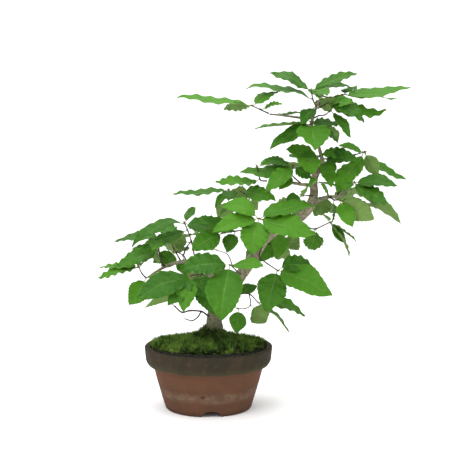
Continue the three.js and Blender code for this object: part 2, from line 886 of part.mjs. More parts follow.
for (const [name, { route, radii }] of Object.entries(limbs)) {
  const steps = 2 * (route.length - 1);
  add(name, cleared(stem(route, radii, { sides: 6, steps })), "bark");
  taken.push(stem(route, radii, { sides: 6, steps, grow: gap }));
}

add("bare_twigs", cleared(shoot(bareTwigs)), "twig");
for (const [name, twigs] of Object.entries(shoots)) {
  add(name, cleared(shoot(twigs)), "leaf");
  taken.push(shoot(twigs, gap));
}

// The origin is under the middle of the whole object's box.
const box = new THREE.Box3().setFromObject(root);
const middle = box.getCenter(new THREE.Vector3());
root.position.set(-middle.x, -middle.y, 0);

export default root;
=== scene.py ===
# A slanting broadleaf bonsai in a round clay training pot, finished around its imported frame.
# Everything is modelled in millimetres from the pot's own axis; toObject puts it in the frame.
import math
import random

import bmesh
import bpy
from mathutils import Matrix, Quaternion, Vector, noise


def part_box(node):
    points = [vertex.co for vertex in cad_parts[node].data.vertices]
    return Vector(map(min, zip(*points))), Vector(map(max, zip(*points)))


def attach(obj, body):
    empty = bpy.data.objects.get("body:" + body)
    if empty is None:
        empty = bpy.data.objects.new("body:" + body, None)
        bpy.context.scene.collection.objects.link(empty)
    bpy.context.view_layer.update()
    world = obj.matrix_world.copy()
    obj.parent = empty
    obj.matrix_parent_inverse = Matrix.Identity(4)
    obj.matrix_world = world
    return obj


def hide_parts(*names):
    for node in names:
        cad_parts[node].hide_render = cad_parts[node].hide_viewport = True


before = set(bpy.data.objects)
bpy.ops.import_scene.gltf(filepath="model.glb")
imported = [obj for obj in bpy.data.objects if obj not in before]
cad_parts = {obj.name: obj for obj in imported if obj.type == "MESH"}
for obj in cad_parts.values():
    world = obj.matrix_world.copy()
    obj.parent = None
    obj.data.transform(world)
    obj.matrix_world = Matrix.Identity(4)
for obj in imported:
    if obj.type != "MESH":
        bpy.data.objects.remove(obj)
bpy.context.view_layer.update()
potLow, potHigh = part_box("pot")
potAxis = Vector(((potLow.x + potHigh.x) / 2, (potLow.y + potHigh.y) / 2, potLow.z))
toFrame = Matrix.Translation(potAxis) @ Matrix.Scale(0.001, 4)


def linear(colour):
    # "#rrggbb" in sRGB to the linear values that shaders take
    parts = [int(colour[i:i + 2], 16) / 255 for i in (1, 3, 5)]
    return (*[p / 12.92 if p < 0.04045 else ((p + 0.055) / 1.055) ** 2.4 for p in parts], 1)


def addNode(tree, kind, links=None, **settings):
    node = tree.nodes.new(kind)
    for name, value in settings.items():
        setattr(node, name, value)
    for socket, value in (links or {}).items():
        if isinstance(value, bpy.types.NodeSocket):
            tree.links.new(value, node.inputs[socket])
        else:
            node.inputs[socket].default_value = value
    return node


def newMaterial(name, **shader):
    material = bpy.data.materials.new(name)
    material.use_nodes = True
    principled = material.node_tree.nodes["Principled BSDF"]
    for socket, value in shader.items():
        principled.inputs[socket.replace("_", " ")].default_value = value
    return material, material.node_tree, principled


def remap(tree, value, fromLow, fromHigh, toLow=0.0, toHigh=1.0):
    links = {"Value": value, "From Min": fromLow, "From Max": fromHigh, "To Min": toLow, "To Max": toHigh}
    return addNode(tree, "ShaderNodeMapRange", links, interpolation_type="SMOOTHSTEP").outputs["Result"]


def sums(tree, operation, a, b=0.0, c=0.0):
    return addNode(tree, "ShaderNodeMath", {0: a, 1: b, 2: c}, operation=operation).outputs[0]


def blendColour(tree, share, a, b):
    return addNode(tree, "ShaderNodeMix", {0: share, 6: a, 7: b}, data_type="RGBA").outputs[2]


def noiseAt(tree, place, sizeMm, detail=4.0, rough=0.55):
    # a noise whose lumps are about sizeMm across
    node = addNode(tree, "ShaderNodeTexNoise", {"Vector": place, "Scale": 1000 / sizeMm, "Detail": detail,
                                                "Roughness": rough})
    return node.outputs["Fac"]


def bumpOf(tree, height, distanceMm, strength=1.0, normal=None):
    links = {"Height": height, "Distance": distanceMm / 1000, "Strength": strength}
    if normal:
        links["Normal"] = normal
    return addNode(tree, "ShaderNodeBump", links).outputs["Normal"]


def toObject(name, bm, materials):
    bmesh.ops.transform(bm, matrix=toFrame, verts=bm.verts)
    mesh = bpy.data.meshes.new(name)
    bm.to_mesh(mesh)
    bm.free()
    for material in materials:
        mesh.materials.append(material)
    for polygon in mesh.polygons:
        polygon.use_smooth = True
    piece = bpy.data.objects.new(name, mesh)
    bpy.context.scene.collection.objects.link(piece)
    return piece


def bake(piece):
    # the modifiers' result becomes the mesh
    bpy.context.view_layer.update()
    done = bpy.data.meshes.new_from_object(piece.evaluated_get(bpy.context.evaluated_depsgraph_get()))
    piece.modifiers.clear()
    piece.data = done
    return piece


def finishPiece(piece, slot, *nodes):
    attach(piece, "root")
    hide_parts(*nodes)


def smoothRoute(points, steps):
    # a soft curve through the points, with steps stretches in each span
    ends = [points[0] * 2 - points[1], *points, points[-1] * 2 - points[-2]]
    line = [points[0]]
    for before, start, end, after in zip(ends, ends[1:], ends[2:], ends[3:]):
        handleA = start + (end - before) / 6
        handleB = end - (after - start) / 6
        for step in range(1, steps + 1):
            t = step / steps
            a, b, c = start.lerp(handleA, t), handleA.lerp(handleB, t), handleB.lerp(end, t)
            line.append(a.lerp(b, t).lerp(b.lerp(c, t), t))
    return line


def growStem(bm, route, radii, sides=8, steps=4, knots=0.0):
    # a ring extruded along the route; knots swells it at the route's own points
    line = smoothRoute([Vector(p) for p in route], steps)
    ring = bmesh.ops.create_circle(bm, cap_ends=True, segments=sides, radius=1)["verts"]
    face = ring[0].link_faces[0]
    heading = Vector((0, 0, 1))
    turn = Quaternion()
    for k, centre in enumerate(line):
        if k:
            grown = bmesh.ops.extrude_face_region(bm, geom=[face])["geom"]
            face = next(g for g in grown if isinstance(g, bmesh.types.BMFace))
        tangent = (line[min(k + 1, len(line) - 1)] - line[max(k - 1, 0)]).normalized()
        turn = heading.rotation_difference(tangent) @ turn
        heading = tangent
        place = k / (len(line) - 1) * (len(radii) - 1)
        first = min(int(place), len(radii) - 2)
        radius = radii[first] + (radii[first + 1] - radii[first]) * (place - first)
        atPoint = abs((k / steps) - round(k / steps)) < 1e-6
        radius *= 1 + (knots if atPoint else 0)
        for corner, vert in enumerate(face.verts):
            angle = 2 * math.pi * corner / sides
            vert.co = centre + turn @ Vector((math.cos(angle), math.sin(angle), 0)) * radius


potLook = {
    "rimRadius": 91, "height": 88, "wall": 8, "collarFoot": 64, "collarFootRadius": 85.5,
    "neckRadius": 79, "waistRadius": 73, "waistHeight": 40, "footRadius": 60, "ringInner": 52,
    "underside": 6.5, "floor": 13, "drainRadius": 12, "steps": 144,
    "notchHalfWidth": 14, "notchHeight": 8.8, "notchTurn": 0.08, "pit": (-6, 30), "pitSize": (3.8, 3.9, 2.5),
}


def spinProfile(profile, corners, steps):
    # profile is [radius, height, rounding]; the rounded corners are bevelled before the spin
    bm = bmesh.new()
    verts = [bm.verts.new((radius, 0, height)) for radius, height, rounding in profile]
    pairs = list(zip(verts, verts[1:]))
    if corners == "closed":
        pairs.append((verts[-1], verts[0]))
    for pair in pairs:
        bm.edges.new(pair)
    rounds = {vert: rounding for vert, (radius, height, rounding) in zip(verts, profile)}
    for vert in verts:
        if rounds[vert]:
            bmesh.ops.bevel(bm, geom=[vert], offset=rounds[vert], offset_type="OFFSET", segments=4,
                            profile=0.5, affect="VERTICES", material=-1)
    long = [edge for edge in bm.edges if edge.calc_length() > 5]
    bmesh.ops.subdivide_edges(bm, edges=long, cuts=5)
    bmesh.ops.spin(bm, geom=bm.verts[:] + bm.edges[:], cent=(0, 0, 0), axis=(0, 0, 1), dvec=(0, 0, 0),
                   angle=2 * math.pi, steps=steps, use_merge=True)
    bmesh.ops.remove_doubles(bm, verts=bm.verts, dist=0.01)
    bmesh.ops.recalc_face_normals(bm, faces=bm.faces)
    return bm


def firedClay():
    # unglazed terracotta, thrown and fired: matt, blotchy, with lime bloom and algae from years of watering
    material, tree, shader = newMaterial("unglazedTerracotta", Roughness=0.86, Specular_IOR_Level=0.15)
    place = addNode(tree, "ShaderNodeMapping", {
        0: addNode(tree, "ShaderNodeTexCoord").outputs["Object"], "Location": -potAxis}).outputs[0]
    height = addNode(tree, "ShaderNodeSeparateXYZ", {0: place}).outputs["Z"]
    level = sums(tree, "MULTIPLY", height, 1000.0)
    blotch = noiseAt(tree, place, 28, 6, 0.6)
    cloud = noiseAt(tree, place, 9, 6, 0.62)
    speck = noiseAt(tree, place, 1.6, 3, 0.6)
    drift = sums(tree, "MULTIPLY_ADD", blotch, 10.0, -5.0)
    uneven = sums(tree, "ADD", level, drift)

    clay = blendColour(tree, remap(tree, blotch, 0.35, 0.65), linear("#603f2d"), linear("#553a2b"))
    clay = blendColour(tree, remap(tree, uneven, 30, 62, 0, 0.5), clay, linear("#674331"))
    clay = blendColour(tree, remap(tree, cloud, 0.42, 0.7, 0, 0.4), clay, linear("#54402f"))
    # the lime bloom lies in a thin band where the soil water dries out
    band = sums(tree, "MULTIPLY", remap(tree, uneven, 17, 25), remap(tree, uneven, 37, 29))
    streaks = remap(tree, cloud, 0.42, 0.66)
    bloom = sums(tree, "MULTIPLY", band, sums(tree, "MULTIPLY_ADD", streaks, 0.5, 0.22))
    clay = blendColour(tree, bloom, clay, linear("#72604f"))
    scuffs = sums(tree, "MULTIPLY", remap(tree, noiseAt(tree, place, 5, 8, 0.75), 0.6, 0.72, 0, 0.4),
                  remap(tree, uneven, 66, 30))
    clay = blendColour(tree, scuffs, clay, linear("#766558"))
    # the foot is darker over its lowest 9 mm
    clay = blendColour(tree, remap(tree, uneven, 9, 1, 0, 0.5), clay, linear("#3d2b22"))
    # algae darken the collar, greener along its lower edge
    collar = remap(tree, uneven, 61, 65)
    slime = blendColour(tree, remap(tree, blotch, 0.36, 0.62), linear("#362d21"), linear("#2b271c"))
    slime = blendColour(tree, remap(tree, cloud, 0.5, 0.68, 0, 0.6), slime, linear("#433a2a"))
    slime = blendColour(tree, remap(tree, uneven, 74, 62, 0, 0.75), slime, linear("#3e3b28"))
    scars = remap(tree, noiseAt(tree, place, 4.5, 8, 0.75), 0.62, 0.74, 0, 0.6)
    slime = blendColour(tree, scars, slime, linear("#70674f"))
    colour = blendColour(tree, collar, clay, slime)
    colour = blendColour(tree, remap(tree, speck, 0.3, 0.7, 0.0, 0.22), colour, linear("#33271f"))
    tree.links.new(colour, shader.inputs["Base Color"])
    # throwing lines about 5 mm apart
    lines = {"Vector": place, "Scale": 60.0, "Distortion": 2.5, "Detail": 3.0}
    turning = addNode(tree, "ShaderNodeTexWave", lines, bands_direction="Z").outputs["Fac"]
    normal = bumpOf(tree, turning, 0.25, 0.5)
    normal = bumpOf(tree, cloud, 0.5, 0.6, normal)
    normal = bumpOf(tree, speck, 0.35, 0.8, normal)
    tree.links.new(normal, shader.inputs["Normal"])
    return material


def makePot(clay):
    look = potLook
    inner = look["rimRadius"] - look["wall"]
    bm = spinProfile([
        (look["ringInner"], 0, 0.8), (look["footRadius"], 0, 1.2), (look["footRadius"] + 2.5, 4, 1.5),
        (look["waistRadius"], look["waistHeight"], 0), (look["neckRadius"], look["collarFoot"] - 2, 0),
        (look["collarFootRadius"], look["collarFoot"] - 1.5, 1.6),
        (look["rimRadius"] - 1.7, look["collarFoot"] + 4, 3),
        (look["rimRadius"], look["height"], 1.6), (inner, look["height"], 1.4),
        (inner - 2, look["collarFoot"] + 4, 2), (look["neckRadius"] - 5.5, look["collarFoot"] - 6, 2),
        (look["waistRadius"] - 5.5, look["waistHeight"], 0), (look["footRadius"] - 1, look["floor"], 3),
        (look["drainRadius"], look["floor"], 0.8), (look["drainRadius"], look["underside"], 0.8),
        (look["ringInner"] - 1, look["underside"], 1.5),
    ], "closed", look["steps"])
    for vert in bm.verts:  # hand-turned walls are never quite true
        swell = noise.noise(vert.co / 45) * 0.5 + noise.noise(vert.co / 12) * 0.12
        flat = Vector((vert.co.x, vert.co.y, 0))
        if flat.length > look["ringInner"] + 3 and vert.co.z > 3:
            vert.co += flat.normalized() * (swell - 0.3)
    pot = toObject("pot_clay", bm, [clay])

    cutters = bmesh.new()
    for turn in range(3):
        arch = bmesh.ops.create_cone(cutters, cap_ends=True, segments=40, radius1=1, radius2=1,
                                     depth=24)["verts"]
        bmesh.ops.scale(cutters, vec=(look["notchHalfWidth"], look["notchHeight"], 1), verts=arch)
        bmesh.ops.rotate(cutters, matrix=Matrix.Rotation(math.pi / 2, 3, "X"), verts=arch)
        bmesh.ops.translate(cutters, vec=(0, -look["footRadius"] + 2, 0), verts=arch)
        turned = look["notchTurn"] + turn * 2 * math.pi / 3
        bmesh.ops.rotate(cutters, matrix=Matrix.Rotation(turned, 3, "Z"), verts=arch)
    pitX, pitZ = look["pit"]
    pit = bmesh.ops.create_icosphere(cutters, subdivisions=3, radius=1)["verts"]
    bmesh.ops.scale(cutters, vec=look["pitSize"], verts=pit)
    wallHere = look["footRadius"] + 2.5 + (pitZ - 4) * 0.29  # the wall leans out 0.29 mm per mm
    bmesh.ops.translate(cutters, vec=(pitX, -wallHere, pitZ), verts=pit)
    bmesh.ops.recalc_face_normals(cutters, faces=cutters.faces)
    cutter = toObject("notch_cutter", cutters, [clay])
    cut = pot.modifiers.new("notches", "BOOLEAN")
    cut.operation, cut.solver, cut.object = "DIFFERENCE", "EXACT", cutter
    bake(pot)
    bpy.data.objects.remove(cutter)
    soften = pot.modifiers.new("worn edges", "BEVEL")
    soften.width, soften.segments, soften.limit_method = 0.0012, 3, "ANGLE"
    soften.angle_limit = math.radians(40)
    bake(pot)
    finishPiece(pot, "terracotta", "pot")


def scatter(ground, grain, perSquareCm, seed, sizes, tilt):
    # grains on the ground's upper faces, by a geometry-nodes tree; each keeps a random "tone"
    tree = bpy.data.node_groups.new(ground.name + "_scatter", "GeometryNodeTree")
    for way in ("INPUT", "OUTPUT"):
        tree.interface.new_socket("Geometry", in_out=way, socket_type="NodeSocketGeometry")
    start = addNode(tree, "NodeGroupInput").outputs[0]
    cover = addNode(tree, "GeometryNodeInputNamedAttribute", {"Name": "cover"}, data_type="FLOAT").outputs[0]
    density = sums(tree, "MULTIPLY", cover, perSquareCm * 10000.0)
    points = addNode(tree, "GeometryNodeDistributePointsOnFaces", {
        "Mesh": start, "Density": density, "Seed": seed})
    shape = addNode(tree, "GeometryNodeObjectInfo", {"Object": grain}).outputs["Geometry"]
    size = addNode(tree, "FunctionNodeRandomValue", {"Seed": seed + 1}, data_type="FLOAT")
    size.inputs[2].default_value, size.inputs[3].default_value = sizes  # the float pair
    placed = addNode(tree, "GeometryNodeInstanceOnPoints", {
        "Points": points.outputs["Points"], "Instance": shape, "Rotation": points.outputs["Rotation"],
        "Scale": size.outputs[1]}).outputs[0]
    lean = addNode(tree, "FunctionNodeRandomValue", {"Seed": seed + 2}, data_type="FLOAT_VECTOR")
    lean.inputs[0].default_value = (-tilt, -tilt, -math.pi)
    lean.inputs[1].default_value = (tilt, tilt, math.pi)
    turned = addNode(tree, "GeometryNodeRotateInstances", {
        "Instances": placed, "Rotation": lean.outputs[0]}).outputs[0]
    tone = addNode(tree, "FunctionNodeRandomValue", {"Seed": seed + 3}, data_type="FLOAT").outputs[1]
    named = addNode(tree, "GeometryNodeStoreNamedAttribute", {
        "Geometry": turned, "Name": "tone", "Value": tone}, data_type="FLOAT", domain="INSTANCE").outputs[0]
    real = addNode(tree, "GeometryNodeRealizeInstances", {0: named}).outputs[0]
    joined = addNode(tree, "GeometryNodeJoinGeometry")
    tree.links.new(start, joined.inputs[0])
    tree.links.new(real, joined.inputs[0])
    addNode(tree, "NodeGroupOutput", {0: joined.outputs[0]})
    ground.modifiers.new("scatter", "NODES").node_group = tree
    bake(ground)
    bpy.data.objects.remove(grain)


soilLook = {
    "edgeRadius": 82, "edge": 84, "middle": 91.5, "bottom": 27, "ripple": 0.9, "bareFrom": 62,
    "grain": 1.1, "perSquareCm": 34, "grainSizes": (0.6, 1.5), "grainTilt": 3.0,
}


def clayGrain(name, material, radius, seed):
    # one crumb of fired clay: a lumpy ball of a few dozen faces, in metres at the world's origin
    bm = bmesh.new()
    bmesh.ops.create_icosphere(bm, subdivisions=1, radius=radius / 1000)
    draw = random.Random(seed)
    for vert in bm.verts:
        vert.co *= draw.uniform(0.72, 1.25)
    mesh = bpy.data.meshes.new(name)
    bm.to_mesh(mesh)
    bm.free()
    mesh.materials.append(material)
    grain = bpy.data.objects.new(name, mesh)
    bpy.context.scene.collection.objects.link(grain)
    return grain


def crumbsWithPaintedShade(name, dark, pale):
    # baked clay soil crumbs, damp; the ground between the crumbs is nearly black, partly the soil's own damp
    # colour and partly painted shade; matt on top
    material, tree, shader = newMaterial(name, Roughness=0.92, Specular_IOR_Level=0.15)
    place = addNode(tree, "ShaderNodeTexCoord").outputs["Object"]
    tone = addNode(tree, "ShaderNodeAttribute", attribute_name="tone").outputs["Fac"]
    crumb = noiseAt(tree, place, 2.2, 4, 0.6)
    # painted shade in part: the ground under the crumbs has no tone and takes the dark colour
    colour = blendColour(tree, remap(tree, tone, 0, 1), linear(dark), linear(pale))
    colour = blendColour(tree, remap(tree, crumb, 0.35, 0.65, 0, 0.5), colour, linear(dark))
    tree.links.new(colour, shader.inputs["Base Color"])
    tree.links.new(bumpOf(tree, crumb, 0.5, 0.8), shader.inputs["Normal"])
    return material


def makeSoil(material):
    look = soilLook
    bm = spinProfile([
        (0, look["bottom"], 0), (62, look["bottom"], 0), (66.5, 40, 0), (72.5, 57, 0), (80, 68, 0),
        (look["edgeRadius"], look["edge"], 0), (60, 87, 0), (30, 89.6, 0), (0, look["middle"], 0),
    ], "open", 72)
    cover = bm.verts.layers.float.new("cover")
    for vert in bm.verts:
        radius = math.hypot(vert.co.x, vert.co.y)
        top = vert.co.z > 80 and radius < look["edgeRadius"] - 1
        if vert.co.z > 82:
            vert.co.z += noise.noise(vert.co / 5) * look["ripple"]
        vert[cover] = 1.0 if top and radius > look["bareFrom"] else 0.0
    soil = toObject("soil_crumbs", bm, [material])
    grain = clayGrain("soil_grain", material, look["grain"], 3)
    scatter(soil, grain, look["perSquareCm"], 11, look["grainSizes"], look["grainTilt"])
    finishPiece(soil, "clay_soil", "soil")


mossLook = {
    "radius": 66.5, "stretch": 1.16, "setBack": 10, "bottom": 84, "edge": 90,
    "stemLength": 8.5, "stemWidth": 1.15, "stems": 6,
    "perSquareCm": 17, "tuftSizes": (0.55, 1.25), "tuftTilt": 0.5,
    "climbX": 6, "climbY": -2, "climbHeight": 18, "climbSpread": 22, "fallBehind": 0.13,
}


def livingMoss():
    # cushion moss: soft pointed stems, each its own green, in darker and yellow-green patches
    material, tree, shader = newMaterial("livingMoss", Roughness=0.85, Specular_IOR_Level=0.1)
    place = addNode(tree, "ShaderNodeTexCoord").outputs["Object"]
    tone = addNode(tree, "ShaderNodeAttribute", attribute_name="tone").outputs["Fac"]
    patch = noiseAt(tree, place, 22, 3, 0.5)
    small = noiseAt(tree, place, 6, 4, 0.6)
    colour = blendColour(tree, remap(tree, tone, 0, 1), linear("#1a240f"), linear("#68903a"))
    colour = blendColour(tree, remap(tree, patch, 0.42, 0.62, 0, 0.6), colour, linear("#82a345"))
    colour = blendColour(tree, remap(tree, small, 0.5, 0.64, 0, 0.75), colour, linear("#18200b"))
    # painted shade: the cushion is painted darker where it climbs against the trunk's foot
    foot = toFrame @ Vector((mossLook["climbX"], mossLook["climbY"], 108))
    away = addNode(tree, "ShaderNodeVectorMath", {0: place, 1: foot}, operation="DISTANCE").outputs["Value"]
    colour = blendColour(tree, remap(tree, away, 0.04, 0.018, 0, 0.55), colour, linear("#1c260f"))
    # dead brown patches, mostly towards +X
    across = addNode(tree, "ShaderNodeSeparateXYZ", {0: place}).outputs["X"]
    side = remap(tree, across, potAxis.x + 0.02, potAxis.x + 0.07, 0.05, 0.6)
    dry = sums(tree, "MULTIPLY", remap(tree, noiseAt(tree, place, 12, 3, 0.6), 0.52, 0.64), side)
    colour = blendColour(tree, dry, colour, linear("#5a4a2c"))
    tree.links.new(colour, shader.inputs["Base Color"])
    return material


def mossTuft(material):
    look = mossLook
    draw = random.Random(8)
    bm = bmesh.new()
    for stem in range(look["stems"]):
        length = look["stemLength"] * draw.uniform(0.6, 1.1)
        spike = bmesh.ops.create_cone(bm, cap_ends=True, segments=3, radius1=look["stemWidth"] / 2, radius2=0,
                                      depth=length)["verts"]
        bmesh.ops.translate(bm, vec=(0, 0, length / 2 - 1.2), verts=spike)
        lean = Matrix.Rotation(draw.uniform(0.15, 0.95), 3, "X")
        heading = Matrix.Rotation(math.tau * stem / look["stems"], 3, "Z")
        bmesh.ops.rotate(bm, matrix=heading @ lean, verts=spike)
    bmesh.ops.remove_doubles(bm, verts=bm.verts, dist=0.001)
    bmesh.ops.scale(bm, vec=(0.001, 0.001, 0.001), verts=bm.verts)
    mesh = bpy.data.meshes.new("moss_tuft")
    bm.to_mesh(mesh)
    bm.free()
    mesh.materials.append(material)
    tuft = bpy.data.objects.new("moss_tuft", mesh)
    bpy.context.scene.collection.objects.link(tuft)
    return tuft


def makeMoss(material):
    look = mossLook
    edge = look["radius"]
    bm = spinProfile([
        (0, look["bottom"], 0), (edge - 2, look["bottom"], 0), (edge + 1, look["edge"] - 2, 0),
        (edge + 1.5, look["edge"], 0), (edge - 0.5, 93.5, 0), (edge - 6, 95, 0), (edge - 14, 96.3, 0),
        (45, 97.2, 0), (30, 98, 0), (18, 98, 0), (0, 98, 0),
    ], "open", 90)
    bmesh.ops.scale(bm, vec=(look["stretch"], 1, 1), verts=bm.verts)
    bmesh.ops.translate(bm, vec=(0, look["setBack"], 0), verts=bm.verts)
    cover = bm.verts.layers.float.new("cover")
    for vert in bm.verts:
        x, y, z = vert.co
        ring = math.hypot(x / look["stretch"], y - look["setBack"])
        if z > look["edge"] + 0.5:
            inward = min(max((edge - ring) / 20, 0), 1)
            away = math.hypot(x - look["climbX"], y - look["climbY"]) / look["climbSpread"]
            rolling = 1.6 * math.sin(x / 9 + 1) * math.cos(y / 11) + 3.4 * noise.noise(vert.co / 8)
            climb = look["climbHeight"] * math.exp(-away * away) - look["fallBehind"] * max(y - 5, 0)
            vert.co.z += inward * rolling + climb - 1.5
        if ring > edge - 4:
            ragged = 1 + 0.03 * noise.noise(Vector((x, y, 0)) / 8)
            vert.co.x, vert.co.y = x * ragged, y * ragged
        vert[cover] = 0.0 if z < look["edge"] - 1 else 1.0
    moss = toObject("moss_cushion", bm, [material])
    scatter(moss, mossTuft(material), look["perSquareCm"], 5, look["tuftSizes"], look["tuftTilt"])
    finishPiece(moss, "moss", "moss")


trunkLine = [  # x, y, z, radius
    (8, 0, 82, 15), (8, 0, 100, 14.5), (8.5, 0, 114, 12), (8.5, 0, 130, 10.5), (16, 2, 148, 9.5),
    (30, 3, 166, 9), (47, 2, 190, 8.5), (58, 0, 205, 8), (68, 0, 222, 7.4), (77, 2, 236, 7),
    (91, 3, 248, 6.8), (110, 3, 258, 6.5), (124, 2, 266, 6.3), (136, 2, 276, 6.5), (144, 2, 289, 6.8),
    (148, 2, 304, 6), (147, 0, 318, 5.8), (150, 0, 330, 5), (159, 0, 345, 3.4), (157, 0, 358, 2.7),
    (153, 0, 372, 2.4), (147, 0, 388, 2.3), (144, 0, 402, 2.2), (149, 0, 420, 1.9), (157, 0, 441, 1.3),
]
roots = [
    ([(12, 0, 104), (26, -5, 97), (40, -9, 84)], [8, 6, 4]),
    ([(5, -3, 102), (-6, -13, 95), (-16, -24, 83)], [7, 5, 3.5]),
    ([(9, 4, 102), (14, 17, 95), (18, 32, 83)], [7, 5, 3.5]),
]
cutStub = ([(90, 2, 247), (91, -4, 247), (91, -9, 248)], [4.6, 4.2, 3.8])
limbs = {
    "limb_left": ([(18, 3, 156), (8, 6, 178), (-1, 1, 196), (-18, 5, 207), (-40, 8, 206), (-62, 0, 200),
                   (-86, -4, 185)], [5, 4.2, 3.6, 3.2, 2.8, 2.4, 1.8]),
    "limb_middle": ([(70, 2, 230), (60, 8, 250), (51, 8, 270), (43, 2, 284), (37, -3, 292)],
                    [4, 3.2, 2.6, 2.2, 1.8]),
    "limb_upper_left": ([(146, -1, 315), (128, -6, 317), (112, -10, 320), (95, -13, 321), (83, -15, 322)],
                        [3, 2.5, 2.2, 2, 1.6]),
    "limb_right": ([(144, 0, 287), (157, -3, 296), (167, -6, 299), (180, -6, 300), (189, -8, 303),
                    (195, -10, 311)], [3.4, 3, 2.7, 2.3, 2, 1.6]),
    "limb_top_left": ([(147, -1, 408), (128, -8, 409), (105, -14, 412), (84, -20, 414)],
                      [1.9, 1.8, 1.6, 1.4]),
}


def beechBark(name, dark, mid, pale, grainMm, shadeAndAlgae):
    # living beech-family bark: thin and smooth, grey-brown, with corky lenticels and lichen dust
    material, tree, shader = newMaterial(name, Roughness=0.82, Specular_IOR_Level=0.2)
    place = addNode(tree, "ShaderNodeTexCoord").outputs["Object"]
    broad = noiseAt(tree, place, grainMm * 5, 4, 0.55)
    grain = noiseAt(tree, place, grainMm, 6, 0.68)
    cells = addNode(tree, "ShaderNodeTexVoronoi", {"Vector": place, "Scale": 1000 / (grainMm * 0.9)})
    fleck = cells.outputs["Distance"]
    colour = blendColour(tree, remap(tree, broad, 0.35, 0.65), linear(mid), linear(pale))
    colour = blendColour(tree, remap(tree, grain, 0.42, 0.62, 0, 0.75), colour, linear(dark))
    colour = blendColour(tree, remap(tree, fleck, 0.22, 0.08, 0, 0.5), colour, linear(pale))
    if shadeAndAlgae:  # painted shade darkens the lower trunk, and algae tint it
        level = addNode(tree, "ShaderNodeSeparateXYZ", {0: place}).outputs["Z"]
        # painted shade: the trunk is painted darker from 170 mm down to 115 mm above the pot's foot
        lowTrunkShade = remap(tree, level, potAxis.z + 0.17, potAxis.z + 0.115, 0, 0.55)
        colour = blendColour(tree, lowTrunkShade, colour, linear("#453d2f"))
        low = remap(tree, level, potAxis.z + 0.15, potAxis.z + 0.1, 0.1, 0.55)
        colour = blendColour(tree, sums(tree, "MULTIPLY", low, broad), colour, linear("#5d6b3a"))
    tree.links.new(colour, shader.inputs["Base Color"])
    normal = bumpOf(tree, grain, 0.5, 0.9)
    tree.links.new(bumpOf(tree, fleck, 0.25, 0.6, normal), shader.inputs["Normal"])
    return material


trunkLook = {"voxel": 0.8, "relax": 0.5, "lumps": 0.75, "grain": 0.22, "lumpsFadeFrom": 330}


def makeTrunk(bark):
    look = trunkLook
    bm = bmesh.new()
    growStem(bm, [point[:3] for point in trunkLine], [point[3] for point in trunkLine], sides=20, steps=5)
    for route, radii in [*roots, cutStub, *limbs.values()]:
        growStem(bm, route, radii, sides=12, steps=5)
    bmesh.ops.recalc_face_normals(bm, faces=bm.faces)
    trunk = toObject("trunk_and_limbs", bm, [bark])
    fuse = trunk.modifiers.new("fuse", "REMESH")
    fuse.mode, fuse.voxel_size = "VOXEL", look["voxel"] / 1000
    relax = trunk.modifiers.new("relax", "SMOOTH")
    relax.factor, relax.iterations = look["relax"], 4
    bake(trunk)
    bm = bmesh.new()
    bm.from_mesh(trunk.data)
    for vert in bm.verts:
        place = (vert.co - potAxis) * 1000
        girth = max(0.25, min(1.0, (look["lumpsFadeFrom"] - place.z) / 120))
        along = Vector((place.x / 5, place.y / 5, place.z / 11))
        lump = noise.noise(along) * look["lumps"] + noise.noise(place / 2.1) * look["grain"]
        vert.co += vert.normal * (lump * girth / 1000)
    bm.to_mesh(trunk.data)
    bm.free()
    for polygon in trunk.data.polygons:
        polygon.use_smooth = True
    finishPiece(trunk, "bark", "trunk", *limbs)


facing = {  # the way a blade's upper face looks before it is squared to the midrib
    "up": (0, 0, 1), "slight": (0, -1, 4), "tipped": (0, -1, 2), "half": (0, -1, 1), "steep": (0, -2, 1),
    "front": (0, -1, 0.2), "away": (0, 1, 0.3), "back": (0, 1, 2), "right": (1, 0, 1),
}
leafLook = {
    "across": 16, "along": 50, "teeth": 10, "toothDepth": 0.045, "waveMm": 1.5, "pleatMm": 0.35,
    "fold": 0.13, "arch": 0.04, "thickness": 0.28, "petiole": 6, "petioleRadius": 0.62, "slant": 0.15,
    "ribTaper": (1.3, 1, 1, 0.85, 0.6, 0.4, 0.15), "glow": 0.32,
}


def leaf(tip, width, face, arch=leafLook["arch"], node=-1, tone=None):
    # node is the route point it grows from; tone runs from 0, dark, to 1, light; a tone given here is painted
    # light and shade, low for a leaf in shade and high for a lit one, and without it the tone is random
    return {"tip": tip, "width": width, "face": face, "arch": arch, "node": node, "tone": tone}


def twig(route, leaves, radius=1.1):
    return {"route": route, "leaves": leaves, "radius": radius}
